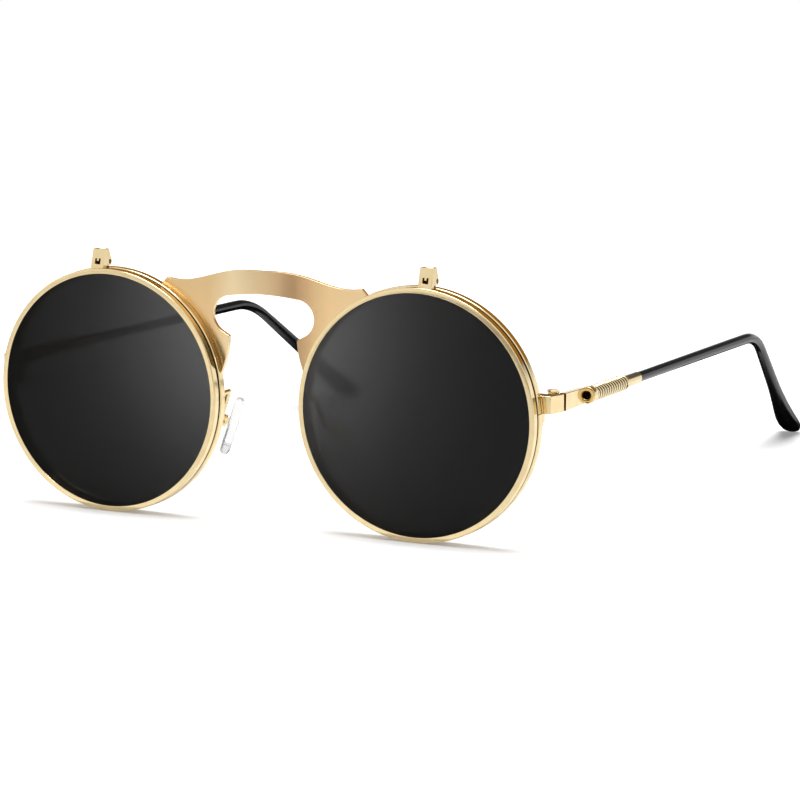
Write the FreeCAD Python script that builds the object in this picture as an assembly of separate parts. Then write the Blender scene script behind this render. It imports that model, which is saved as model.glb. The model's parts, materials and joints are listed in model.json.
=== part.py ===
"""Round flip-up sunglasses: a metal front with clear lenses, a tinted lens on a hinge over each
of them, and temples of a bar, a coil spring and a black sleeve.

Millimetres. The front faces -Y, the temples run back along +Y and Z is up. The glasses stand on
the rims and on the temple tips. Every paired piece is made on the right, +X, and mirrored.
"""

import FreeCAD, Part
import math
import os

Vector = FreeCAD.Vector
RIGHT = Vector(1, 0, 0)
BACK = Vector(0, 1, 0)
UP = Vector(0, 0, 1)

# Lenses and rims
LENS_OPENING = 48.0  # diameter of the lens that shows inside its rim
LENS_DISTANCE = 21.0  # from one lens opening to the other, across the nose
LENS_THICKNESS = 1.1
LENS_FIT = 0.03  # between a lens and its groove
GROOVE_DEPTH = 0.5
RIM_WALL = 1.3
REAR_RIM_DEPTH = 1.9
FLIP_RIM_DEPTH = 1.7
FLIP_GAP = 0.6  # between the flip rim and the rear rim behind it
FLIP_LIFT = 0.12  # the flip rim is this much smaller, and hangs clear of the table
SOLDER_GAP = 0.02  # left between two pieces that are soldered together

# Bridge plate, with heights from the lens centres
BRIDGE_THICKNESS = 1.0
BRIDGE_RISE = 1.0  # of the bar over the tops of the rims
BRIDGE_BOW = 0.8  # of the middle towards the front
BRIDGE_BOW_REACH = 12.0
BAR_HEIGHT = 4.75
BAR_CROWN = 5.5  # from the middle to where the top starts to fall
BAR_CROWN_FALL = 0.15
BAR_SHOULDER = 11.0
BAR_SHOULDER_FALL = 1.25
BAR_ARCH = 0.65  # of the bar's underside
HORN_ANGLE = 63.0  # round the rim, from the level of the lens centres
HORN_WIDTH = 1.2
HORN_HEIGHT = 1.3
SADDLE_WIDTH = 4.2
SADDLE_DIP = 0.3
KEYHOLE_WIDTH = 22.6
KEYHOLE_RADIUS = 3.9
KEYHOLE_TURN = 64.0  # of the keyhole's side below its widest point
PRONG_SPAN = 15.2
PRONG_TIP_FALL = 4.3  # of the prong's inner corner below the keyhole's middle
PRONG_BULGE = 0.45
PRONG_ANGLE = 11.0

# End pieces and rim locks
TEMPLE_RISE = 3.6  # of the temple hinge over the lens centres
END_HEIGHT = 3.5
END_WALL = 1.35
END_SET_BACK = 1.2  # of its front face behind the front of the rear rim
END_SHOULDER = 2.0  # width of that face beside the rim
END_SWEEP_OUT = 1.35
END_SWEEP_BACK = 3.85
LUG_WIDTH = 1.9
LUG_DEPTH = 1.95
LUG_INSET = 0.1  # of the lug from the rim's outline
CLOSING_BLOCK_HEIGHT = 1.9
RIM_SPLIT = 0.15
RIM_SCREW_RADIUS = 0.45
RIM_SCREW_HEAD_RADIUS = 0.85
RIM_SCREW_HEAD_HEIGHT = 0.6
THREAD_FIT = 0.02

# Temple hinges
HINGE_INSET = 2.5  # of the screw from the outer face
HINGE_GAP = 0.9  # between the end piece and the bar, in the open pose
KNUCKLE_RADIUS = 1.05
MIDDLE_KNUCKLE_HEIGHT = 1.1
KNUCKLE_GAP = 0.08
KNUCKLE_WEB = 0.85
HINGE_SCREW_RADIUS = 0.5
HINGE_SCREW_HEAD_RADIUS = 1.25
HINGE_SCREW_HEAD_HEIGHT = 0.5
HINGE_RUN = 0.06
SLOT_WIDTH = 0.3
SLOT_DEPTH = 0.3

# Temples, measured along the axis from the front of the spring collar
BAR_LENGTH = 10.0
BAR_OVERLAP = 0.15  # the bar's outer face stops this short of the axis
AXIS_OUTSET = 0.5  # of the axis from the end piece's outer face
TEMPLE_SPLAY = 1.3
TEMPLE_FALL = 1.4
COLLAR_LENGTH = 2.0
COLLAR_RADIUS = 1.7
COLLAR_MOUTH_RADIUS = 1.05
COLLAR_MOUTH_DEPTH = 0.9
COLLAR_BEVEL = 0.15
SPRING_LENGTH = 16.85
SPRING_RADIUS = 1.6
SPRING_WIRE = 0.6
SPRING_TURNS = 10
SPRING_LEAD = 1.0  # length of the turn that leads into the coil at each end
WIRE_SIDES = 6
CORE_RADIUS = 0.65
CORE_FIT = 0.02
CORE_SEAT = 0.8  # of the core in the collar
CORE_STOP = 3.0  # of the core before the bend
FERRULE_LENGTH = 8.3
FERRULE_FLANGE = 1.0
FERRULE_RADIUS = 1.3
FERRULE_LIP_RADIUS = 1.4
FERRULE_LIP = 0.5
SLEEVE_RADIUS = 1.2
BEND_DISTANCE = 103.8  # to the corner that the bend rounds
BEND_RADIUS = 28.0
DROP_ANGLE = 32.3
DROP_TURN_IN = 6.0  # of the tip towards the other temple
DROP_LENGTH = 57.4  # from that corner to the end of the tip
PADDLE_WIDTH = 5.6
PADDLE_FLARE = 22.0  # length of the flare, to the middle of the round end
PADDLE_BEVEL = 0.7

# How the glasses stand
TILT_ATTEMPTS = 4  # the tilt is found anew until the tips touch the table

# Flip hinges
FLIP_HINGE_OUTSET = 2.05  # from over the lens centre, towards the temple
PIN_RADIUS = 0.45
PIN_RISE = 1.0  # of the pin over the rear rim
PIN_SET_BACK = 1.0  # of the pin behind the front of the rear rim
PIN_RUN = 0.05
BOSS_RADIUS = 0.8
LEAF_WIDTH = 2.9
LEAF_WALL = 0.6
LEAF_RISE = 2.7  # over the pin
LEAF_TOP = 1.5  # depth of the leaf's top
LEAF_LEAN = 1.35
LEAF_SET_BACK = 0.15
LEAF_SIDE_RUN = 0.1
WINDOW_WIDTH = 1.25
WINDOW_HEIGHT = 1.15
WINDOW_SILL = 0.75
TONGUE_WIDTH = 0.5
TONGUE_LENGTH = 0.5

# Nose pads, on an axis between the pad and its arm
PAD_OUTSET = 0.8  # of the pad's middle beyond the edge of the lens opening
PAD_SET_BACK = 7.0
PAD_FALL = 6.8
PAD_TILT = 20.0
PAD_SPLAY = 25.0
PAD_THICKNESS = 2.1
PAD_LOW_RADIUS = 3.6
PAD_TOP_RADIUS = 2.4
PAD_RADII_APART = 6.7
PAD_BEVEL = 0.6
PAD_BOX_CLEARANCE = 0.3
PAD_BOX_DEPTH = 1.7
PAD_BOX_HEIGHT = 2.0
PAD_BOX_WIDTH = 2.0
STUD_WIDTH = 0.7
STUD_HEIGHT = 1.3
STUD_RUN = 0.1
STUD_ANCHOR = 0.6  # of the stud in the pad
PAD_SCREW_RADIUS = 0.3
PAD_SCREW_RUN = 0.05
ARM_RADIUS = 0.5
ARM_RISE = 0.6
ARM_REACH = 2.6  # straight back from the rim
ARM_ELBOW = Vector(0.3, -4.2, 2.4)  # of the arm's lower bend from the pad's middle

# What follows from the sizes
opening_radius = LENS_OPENING / 2
rim_radius = opening_radius + RIM_WALL
flip_rim_radius = rim_radius - FLIP_LIFT
lens_x = (LENS_OPENING + LENS_DISTANCE) / 2
lens_z = rim_radius
rear_rim_front = FLIP_RIM_DEPTH + FLIP_GAP
rear_rim_back = rear_rim_front + REAR_RIM_DEPTH
seat_radius = rim_radius + SOLDER_GAP
lens_centre = Vector(lens_x, 0, lens_z)

hinge_z = lens_z + TEMPLE_RISE
end_low = hinge_z - END_HEIGHT / 2
end_high = hinge_z + END_HEIGHT / 2
rim_side_x = lens_x + math.sqrt(rim_radius**2 - TEMPLE_RISE**2)
end_front = rear_rim_front + END_SET_BACK
end_corner_x = rim_side_x + END_SHOULDER
end_outer_x = end_corner_x + END_SWEEP_OUT
end_back = end_front + END_SWEEP_BACK
bar_front = end_back + HINGE_GAP
hinge_x = end_outer_x - HINGE_INSET
hinge_y = bar_front - HINGE_GAP / 3
lug_front = rear_rim_back + SOLDER_GAP
lug_back = lug_front + LUG_DEPTH
lug_outer_x = rim_side_x - LUG_INSET
lug_inner_x = lug_outer_x - LUG_WIDTH

splay = math.radians(TEMPLE_SPLAY)
fall = math.radians(TEMPLE_FALL)
temple_way = Vector(math.sin(splay), math.cos(splay), -math.tan(fall)).normalize()
temple_out = temple_way.cross(UP).normalize()
temple_up = temple_out.cross(temple_way)
bar_fall = BAR_LENGTH * math.tan(fall)
temple_start = Vector(end_outer_x + AXIS_OUTSET, bar_front + BAR_LENGTH, hinge_z - bar_fall)
ferrule_start = COLLAR_LENGTH + SPRING_LENGTH
sleeve_start = ferrule_start + FERRULE_LENGTH
coil_radius = SPRING_RADIUS - SPRING_WIRE / 2

drop = math.radians(DROP_ANGLE)
turn_in = math.radians(DROP_TURN_IN)
drop_way = Vector(-math.sin(turn_in), math.cos(turn_in), -math.tan(drop)).normalize()
bend_corner = temple_start + temple_way * BEND_DISTANCE
bend_turn = temple_way.getAngle(drop_way)
bend_side = temple_way.cross(drop_way).normalize()
bend_tangent = BEND_RADIUS * math.tan(bend_turn / 2)
bend_start = bend_corner - temple_way * bend_tangent
bend_end = bend_corner + drop_way * bend_tangent
bend_centre = bend_start + bend_side.cross(temple_way) * BEND_RADIUS
paddle_radius = PADDLE_WIDTH / 2
blade_length = DROP_LENGTH - bend_tangent - paddle_radius

pin_y = rear_rim_front + PIN_SET_BACK
pin_z = lens_z + rim_radius + PIN_RISE
flip_hinge_x = lens_x + FLIP_HINGE_OUTSET

pad_middle = Vector(LENS_DISTANCE / 2 + PAD_OUTSET, rear_rim_back + PAD_SET_BACK, lens_z - PAD_FALL)
pad_turn = FreeCAD.Rotation(BACK, -PAD_TILT).multiply(FreeCAD.Rotation(UP, -PAD_SPLAY))
pad_back = PAD_THICKNESS / 2
pad_box_near = pad_back + PAD_BOX_CLEARANCE
pad_box_far = pad_box_near + PAD_BOX_DEPTH
pad_axis_out = pad_box_near + STUD_HEIGHT / 2


def polygon(points):
    """A flat face with straight sides."""
    return Part.Face(Part.makePolygon(points + points[:1]))


def line(start, end):
    return Part.LineSegment(start, end).toShape()


def arc(start, middle, end):
    return Part.Arc(start, middle, end).toShape()


def box(low, high):
    """A box between two opposite corners."""
    size = high - low
    return Part.makeBox(size.x, size.y, size.z, low)


def plan(points, low, high):
    """A flat outline of (x, y) points, raised from one height to another."""
    return polygon([Vector(x, y, low) for x, y in points]).extrude(UP * (high - low))


def post(x, y, radius, low, high):
    """A round bar that stands on end."""
    return Part.makeCylinder(radius, high - low, Vector(x, y, low), UP)


def turned_on_lens(section):
    """A section in radius and depth, turned about the axis of the right lens."""
    turned = polygon(section).revolve(Vector(), BACK, 360)
    turned.translate(lens_centre)
    return turned


def rim_bore(radius, front, back):
    """A round cutter on the axis of the right lens."""
    return Part.makeCylinder(radius, back - front, Vector(lens_x, front, lens_z), BACK)


def on_temple(shape, distance):
    """A piece made along +Z, set on the temple's axis."""
    shape.Placement = FreeCAD.Placement(
        temple_start + temple_way * distance, FreeCAD.Rotation(UP, temple_way)
    )
    return shape


def turned_on_temple(section, distance):
    """A section of (radius, length) points, turned about the temple's axis."""
    outline = polygon([Vector(radius, 0, length) for radius, length in section])
    return on_temple(outline.revolve(Vector(), UP, 360), distance)


def on_pad(shape):
    """A piece made about the pad's middle, with X away from the nose, set at the pad's slant."""
    shape.Placement = FreeCAD.Placement(pad_middle, pad_turn)
    return shape


def rim(front, depth, radius):
    """A rim with a V groove inside for the lens."""
    back = front + depth
    section = [
        Vector(opening_radius, front, 0),
        Vector(radius, front, 0),
        Vector(radius, back, 0),
        Vector(opening_radius, back, 0),
        Vector(opening_radius + GROOVE_DEPTH, front + depth / 2, 0),
    ]
    return turned_on_lens(section)


def lens(rim_front, rim_depth):
    """A flat lens with a V edge that lies in the rim's groove."""
    middle = rim_front + rim_depth / 2
    half = LENS_THICKNESS / 2
    tip = opening_radius + GROOVE_DEPTH - LENS_FIT
    edge = tip - half * GROOVE_DEPTH / (rim_depth / 2)
    section = [
        Vector(0, middle - half, 0),
        Vector(edge, middle - half, 0),
        Vector(tip, middle, 0),
        Vector(edge, middle + half, 0),
        Vector(0, middle + half, 0),
    ]
    return turned_on_lens(section)


def rear_rim():
    """The rear rim, sawn through between the end piece and the closing block."""
    whole = rim(rear_rim_front, REAR_RIM_DEPTH, rim_radius)
    saw = box(
        Vector(lens_x + opening_radius - RIM_WALL, 0, end_low - RIM_SPLIT),
        Vector(end_outer_x, rear_rim_back + RIM_WALL, end_low),
    )
    return whole.cut(saw)


def bridge_outline():
    """The plate's outline on the plane of the lenses: the right half's edges and their mirror."""
    def at(x, z):
        return Vector(x, 0, lens_z + z)

    def on_rim(angle):
        turn = math.radians(angle)
        return at(lens_x - seat_radius * math.cos(turn), seat_radius * math.sin(turn))

    def on_keyhole(angle):
        turn = math.radians(angle)
        x = keyhole_x + KEYHOLE_RADIUS * math.cos(turn)
        return at(x, keyhole_z + KEYHOLE_RADIUS * math.sin(turn))

    top = rim_radius + BRIDGE_RISE
    underside = top - BAR_HEIGHT
    keyhole_x = KEYHOLE_WIDTH / 2 - KEYHOLE_RADIUS
    keyhole_z = underside - BAR_ARCH - KEYHOLE_RADIUS
    horn_end = on_rim(HORN_ANGLE)
    horn_top = horn_end + Vector(-HORN_WIDTH, 0, HORN_HEIGHT)
    saddle = horn_top + Vector(-SADDLE_WIDTH, 0, -SADDLE_DIP)
    right_top = [
        at(BAR_CROWN, top - BAR_CROWN_FALL),
        at(BAR_SHOULDER, top - BAR_SHOULDER_FALL),
        saddle,
        horn_top,
    ]
    left_top = [Vector(-point.x, 0, point.z) for point in reversed(right_top)]
    top_edge = Part.BSplineCurve()
    top_edge.interpolate(left_top + [at(0, top)] + right_top)
    prong_end = on_rim(PRONG_ANGLE)
    prong_tip = at(PRONG_SPAN / 2, keyhole_z - PRONG_TIP_FALL)
    prong_middle = (prong_end + prong_tip) / 2 + Vector(-PRONG_BULGE, 0, 0)
    right_edges = [
        line(horn_top, horn_end),
        arc(horn_end, on_rim((HORN_ANGLE + PRONG_ANGLE) / 2), prong_end),
        arc(prong_end, prong_middle, prong_tip),
        line(prong_tip, on_keyhole(-KEYHOLE_TURN)),
        arc(on_keyhole(-KEYHOLE_TURN), on_keyhole(0), on_keyhole(90)),
    ]
    left_edges = [edge.mirror(Vector(), RIGHT) for edge in right_edges]
    keyhole_top = on_keyhole(90)
    under_edge = arc(keyhole_top, at(0, underside), Vector(-keyhole_top.x, 0, keyhole_top.z))
    edges = [top_edge.toShape(), under_edge] + right_edges + left_edges
    return Part.Face(Part.Wire(Part.__sortEdges__(edges)))


def bridge_plate():
    """A stamped plate, bowed to the front across the nose and flat where it meets the rims."""
    front = rear_rim_back - BRIDGE_THICKNESS
    half_reach = BRIDGE_BOW_REACH / 2
    bow_radius = (half_reach**2 + (BRIDGE_BOW / 2) ** 2) / BRIDGE_BOW
    quarter_depth = bow_radius - math.sqrt(bow_radius**2 - (half_reach / 2) ** 2)
    wing = Vector(lens_x, front, 0)
    flat = Vector(BRIDGE_BOW_REACH, front, 0)
    turn = Vector(half_reach, front - BRIDGE_BOW / 2, 0)
    hollow = Vector(BRIDGE_BOW_REACH - half_reach / 2, front - quarter_depth, 0)
    crown = Vector(0, front - BRIDGE_BOW, 0)
    right = [line(wing, flat), arc(flat, hollow, turn)]
    left = [edge.mirror(Vector(), RIGHT) for edge in right]
    faces = right + [arc(turn, crown, Vector(-turn.x, turn.y, 0))] + left
    through = BACK * BRIDGE_THICKNESS
    sides = []
    for end in (wing, Vector(-wing.x, wing.y, 0)):
        sides.append(line(end, end + through))
    faces += [edge.translated(through) for edge in faces] + sides
    slab = Part.Face(Part.Wire(Part.__sortEdges__(faces))).extrude(UP * 3 * lens_z)
    punched = bridge_outline().extrude(BACK * 2 * rear_rim_back)
    return punched.common(slab)


def end_piece():
    """A bar bent from the rim round to the hinge, with two knuckles and the lug of the rim lock."""
    sweep = math.hypot(END_SWEEP_OUT, END_SWEEP_BACK)
    inner_shift = END_WALL * sweep / END_SWEEP_BACK
    slope = END_SWEEP_OUT / END_SWEEP_BACK
    lug_back_x = end_corner_x - inner_shift + (lug_back - end_front) * slope
    outline = [
        (lug_inner_x, end_front),
        (end_corner_x, end_front),
        (end_outer_x, end_back),
        (end_outer_x - inner_shift, end_back),
        (lug_back_x, lug_back),
        (lug_inner_x, lug_back),
    ]
    bar = plan(outline, end_low, end_high).cut(rim_bore(seat_radius, 0, lug_front))
    knuckles = []
    free = MIDDLE_KNUCKLE_HEIGHT / 2 + KNUCKLE_GAP
    for low, high in ((end_low, hinge_z - free), (hinge_z + free, end_high)):
        web = box(
            Vector(hinge_x, hinge_y - KNUCKLE_RADIUS, low),
            Vector(end_outer_x - inner_shift, end_back, high),
        )
        knuckles += [post(hinge_x, hinge_y, KNUCKLE_RADIUS, low, high), web]
    screw_hole = post(hinge_x, hinge_y, HINGE_SCREW_RADIUS + THREAD_FIT, end_low, end_high)
    lock_hole = post(rim_screw_x(), rim_screw_y(), RIM_SCREW_RADIUS + THREAD_FIT, end_low, hinge_z)
    return bar.fuse(knuckles).cut([screw_hole, lock_hole]).removeSplitter()


def rim_screw_x():
    return lug_inner_x + LUG_WIDTH / 2


def rim_screw_y():
    return lug_front + LUG_DEPTH / 2


def closing_block():
    """The lower half of the rim lock, soldered to the back of the rim under the saw cut."""
    high = end_low - RIM_SPLIT
    low = high - CLOSING_BLOCK_HEIGHT
    block = box(Vector(lug_inner_x, lug_front, low), Vector(lug_outer_x, lug_back, high))
    return block.cut(post(rim_screw_x(), rim_screw_y(), RIM_SCREW_RADIUS + THREAD_FIT, low, high))


def slotted_screw(x, y, shank, head, low, high, head_height):
    """A screw with its head at the low or the high end of its shank, and a driver's slot."""
    way = 1 if head_height > 0 else -1
    seat = high if way > 0 else low
    top = seat + head_height
    cap = post(x, y, head, min(seat, top), max(seat, top))
    floor = top - way * SLOT_DEPTH
    slot = box(
        Vector(x - head, y - SLOT_WIDTH / 2, min(floor, top)),
        Vector(x + head, y + SLOT_WIDTH / 2, max(floor, top)),
    )
    return post(x, y, shank, low, high).fuse(cap).cut(slot).removeSplitter()


def rim_screw():
    """Comes from below through the closing block into the end piece's lug."""
    seat = end_low - RIM_SPLIT - CLOSING_BLOCK_HEIGHT - SOLDER_GAP
    return slotted_screw(
        rim_screw_x(), rim_screw_y(), RIM_SCREW_RADIUS, RIM_SCREW_HEAD_RADIUS,
        seat, hinge_z - SOLDER_GAP, -RIM_SCREW_HEAD_HEIGHT,
    )


def hinge_screw():
    """Comes from above through the three knuckles."""
    return slotted_screw(
        hinge_x, hinge_y, HINGE_SCREW_RADIUS, HINGE_SCREW_HEAD_RADIUS,
        end_low, end_high + SOLDER_GAP, HINGE_SCREW_HEAD_HEIGHT,
    )


def temple_bar():
    """A flat bar that thickens from the hinge to the collar, with the middle knuckle."""
    def section(corners):
        return Part.makePolygon(corners + corners[:1])

    def at_collar(out, up):
        return temple_start + temple_out * out + temple_up * up - temple_way * SOLDER_GAP

    inner_x = end_outer_x - END_WALL
    half = END_HEIGHT / 2
    at_hinge = section([
        Vector(inner_x, bar_front, hinge_z - half),
        Vector(end_outer_x, bar_front, hinge_z - half),
        Vector(end_outer_x, bar_front, hinge_z + half),
        Vector(inner_x, bar_front, hinge_z + half),
    ])
    half = COLLAR_RADIUS - COLLAR_BEVEL
    at_back = section([
        at_collar(-half, -half),
        at_collar(-BAR_OVERLAP, -half),
        at_collar(-BAR_OVERLAP, half),
        at_collar(-half, half),
    ])
    bar = Part.makeLoft([at_hinge, at_back], True, True)
    low = hinge_z - MIDDLE_KNUCKLE_HEIGHT / 2
    high = hinge_z + MIDDLE_KNUCKLE_HEIGHT / 2
    web_high = Vector(inner_x + END_WALL / 2, bar_front + KNUCKLE_WEB, high)
    web = box(Vector(hinge_x, bar_front, low), web_high)
    knuckle = post(hinge_x, hinge_y, KNUCKLE_RADIUS, low, high)
    bore = post(hinge_x, hinge_y, HINGE_SCREW_RADIUS + HINGE_RUN, low, high)
    return bar.fuse([web, knuckle]).cut(bore).removeSplitter()


def wire_end(angle, low, high):
    """The hole that takes one straight end of the spring's wire."""
    middle = Vector(coil_radius * math.cos(angle), coil_radius * math.sin(angle), low)
    return Part.makeCylinder(SPRING_WIRE / 2 + CORE_FIT, high - low, middle, UP)


def spring_collar():
    """A turned collar: an open mouth in front, and seats for the core and the spring behind."""
    seat = COLLAR_LENGTH - CORE_SEAT
    section = [
        (0, COLLAR_MOUTH_DEPTH),
        (COLLAR_MOUTH_RADIUS, COLLAR_MOUTH_DEPTH),
        (COLLAR_MOUTH_RADIUS, 0),
        (COLLAR_RADIUS - COLLAR_BEVEL, 0),
        (COLLAR_RADIUS, COLLAR_BEVEL),
        (COLLAR_RADIUS, COLLAR_LENGTH),
        (CORE_RADIUS + CORE_FIT, COLLAR_LENGTH),
        (CORE_RADIUS + CORE_FIT, seat),
        (0, seat),
    ]
    hole = on_temple(wire_end(0, COLLAR_LENGTH - SPRING_WIRE - CORE_FIT, COLLAR_LENGTH), 0)
    return turned_on_temple(section, 0).cut(hole)


def helix_point(turns):
    """A point of the coil and the way the wire runs there."""
    pitch = (SPRING_LENGTH - 2 * SPRING_LEAD) / SPRING_TURNS
    angle = 2 * math.pi * turns + math.pi / 2
    point = Vector(coil_radius * math.cos(angle), coil_radius * math.sin(angle), SPRING_LEAD + pitch * turns)
    rise = pitch / (2 * math.pi)
    way = Vector(-coil_radius * math.sin(angle), coil_radius * math.cos(angle), rise)
    return point, way.normalize()


def biarc(start, start_way, end, end_way):
    """Two arcs that run from one point and direction to another."""
    across = end - start
    ways = start_way + end_way
    lead = across.dot(ways)
    bend = 2 * (1 - start_way.dot(end_way))
    reach = (math.sqrt(lead**2 + bend * across.dot(across)) - lead) / bend
    joint = (start + start_way * reach + end - end_way * reach) / 2
    first = Part.Arc(start, arc_middle(start, start_way, joint), joint)
    second = Part.Arc(joint, arc_middle(end, end_way * -1, joint), end)
    return [first, second]


def arc_middle(start, way, end):
    """The middle point of the arc that leaves start along way and ends at end."""
    chord = end - start
    half = chord.Length / 2
    angle = way.getAngle(chord)
    inward = (way - chord * (way.dot(chord) / chord.dot(chord))).normalize()
    return start + chord / 2 + inward * half * math.tan(angle / 2)


def spring_curves():
    """The wire's path: a straight end, a lead, half turns of coil, a lead and a straight end."""
    spots = [helix_point(step / 2) for step in range(2 * SPRING_TURNS + 1)]
    first = Vector(coil_radius, 0, 0)
    last_point = spots[-1][0]
    last = Vector(-last_point.y, last_point.x, 0) + UP * SPRING_LENGTH
    spots = [(first, UP)] + spots + [(last, UP)]
    curves = [Part.LineSegment(first - UP * SPRING_WIRE, first)]
    for here, there in zip(spots, spots[1:]):
        curves += biarc(*here, *there)
    curves.append(Part.LineSegment(last, last + UP * SPRING_WIRE))
    return curves


def report_spring(path):
    """Prints the tightest bend of the wire and its least gap to itself."""
    radii = [edge.Curve.Radius for edge in path.Edges if hasattr(edge.Curve, "Radius")]
    step = SPRING_WIRE / 6
    points = path.discretize(Number=round(path.Length / step))
    apart = round(4 * SPRING_WIRE / step)
    least = min(
        (points[j] - points[i]).Length
        for i in range(len(points))
        for j in range(i + apart, len(points))
    )
    print("spring: tightest bend", round(min(radii), 3), "least gap", round(least - SPRING_WIRE, 3))


def temple_spring():
    """One unbroken wire on arcs, with a many-sided section."""
    path = Part.Wire([curve.toShape() for curve in spring_curves()])
    report_spring(path)
    start = Vector(coil_radius, 0, -SPRING_WIRE)
    corners = []
    for side in range(WIRE_SIDES):
        angle = 2 * math.pi * side / WIRE_SIDES
        corners.append(start + Vector(math.cos(angle), math.sin(angle), 0) * (SPRING_WIRE / 2))
    sweep = Part.BRepOffsetAPI.MakePipeShell(path)
    sweep.add(Part.makePolygon(corners + corners[:1]))
    sweep.build()
    sweep.makeSolid()
    return on_temple(sweep.shape(), COLLAR_LENGTH)


def temple_core():
    """The wire that carries the spring, the ferrule and the sleeve."""
    return temple_rod(CORE_RADIUS, COLLAR_LENGTH - CORE_SEAT + CORE_FIT, -CORE_STOP)


def temple_rod(radius, start, past_bend):
    """A round rod on the temple's axis that ends before the bend."""
    begin = temple_start + temple_way * start
    return Part.makeCylinder(radius, (bend_start - begin).Length + past_bend, begin, temple_way)


def temple_ferrule():
    """A turned ferrule with a flange that the spring bears on, and a lip at the sleeve."""
    bore = CORE_RADIUS + CORE_FIT
    section = [
        (bore, 0),
        (SPRING_RADIUS, 0),
        (SPRING_RADIUS, FERRULE_FLANGE),
        (FERRULE_RADIUS, FERRULE_FLANGE),
        (FERRULE_RADIUS, FERRULE_LENGTH - FERRULE_LIP),
        (FERRULE_LIP_RADIUS, FERRULE_LENGTH - FERRULE_LIP),
        (FERRULE_LIP_RADIUS, FERRULE_LENGTH),
        (bore, FERRULE_LENGTH),
    ]
    end = helix_point(SPRING_TURNS)[0]
    angle = math.atan2(end.y, end.x) + math.pi / 2
    hole = on_temple(wire_end(angle, 0, SPRING_WIRE + CORE_FIT), ferrule_start)
    return turned_on_temple(section, ferrule_start).cut(hole)


def paddle():
    """A flat blade with bevelled edges, as thick as the sleeve, that flares to a round end."""
    across = bend_side.cross(drop_way)
    low_face = bend_end - across * SLEEVE_RADIUS

    def at(distance, side):
        return low_face + drop_way * distance + bend_side * side

    neck = blade_length - PADDLE_FLARE
    reach = math.hypot(PADDLE_FLARE, SLEEVE_RADIUS)
    flare = math.asin(paddle_radius / reach) - math.atan2(SLEEVE_RADIUS, PADDLE_FLARE)
    tangent_distance = blade_length - paddle_radius * math.sin(flare)
    tangent_side = paddle_radius * math.cos(flare)
    left_tangent = at(tangent_distance, -tangent_side)
    right_tangent = at(tangent_distance, tangent_side)
    outline = [
        line(at(0, -SLEEVE_RADIUS), at(neck, -SLEEVE_RADIUS)),
        line(at(neck, -SLEEVE_RADIUS), left_tangent),
        arc(left_tangent, at(blade_length + paddle_radius, 0), right_tangent),
        line(right_tangent, at(neck, SLEEVE_RADIUS)),
        line(at(neck, SLEEVE_RADIUS), at(0, SLEEVE_RADIUS)),
        line(at(0, SLEEVE_RADIUS), at(0, -SLEEVE_RADIUS)),
    ]
    blade = Part.Face(Part.Wire(outline)).extrude(across * 2 * SLEEVE_RADIUS)
    bevelled = []
    for edge in blade.Edges:
        middle = edge.valueAt((edge.FirstParameter + edge.LastParameter) / 2) - bend_end
        on_face = abs(abs(middle.dot(across)) - SLEEVE_RADIUS) < SOLDER_GAP
        if on_face and middle.dot(drop_way) > SOLDER_GAP:
            bevelled.append(edge)
    return blade.makeChamfer(PADDLE_BEVEL, bevelled)


def temple_tip():
    """The black sleeve: round along the temple and round the bend, then a flat paddle."""
    straight = temple_rod(SLEEVE_RADIUS, sleeve_start + SOLDER_GAP, 0)
    knee = Part.Face(Part.Wire(Part.Circle(bend_start, temple_way, SLEEVE_RADIUS).toShape()))
    knee = knee.revolve(bend_centre, bend_side, math.degrees(bend_turn))
    bore = temple_rod(CORE_RADIUS + CORE_FIT, sleeve_start, CORE_FIT - CORE_STOP)
    return straight.fuse([knee, paddle()]).cut(bore).removeSplitter()


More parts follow.
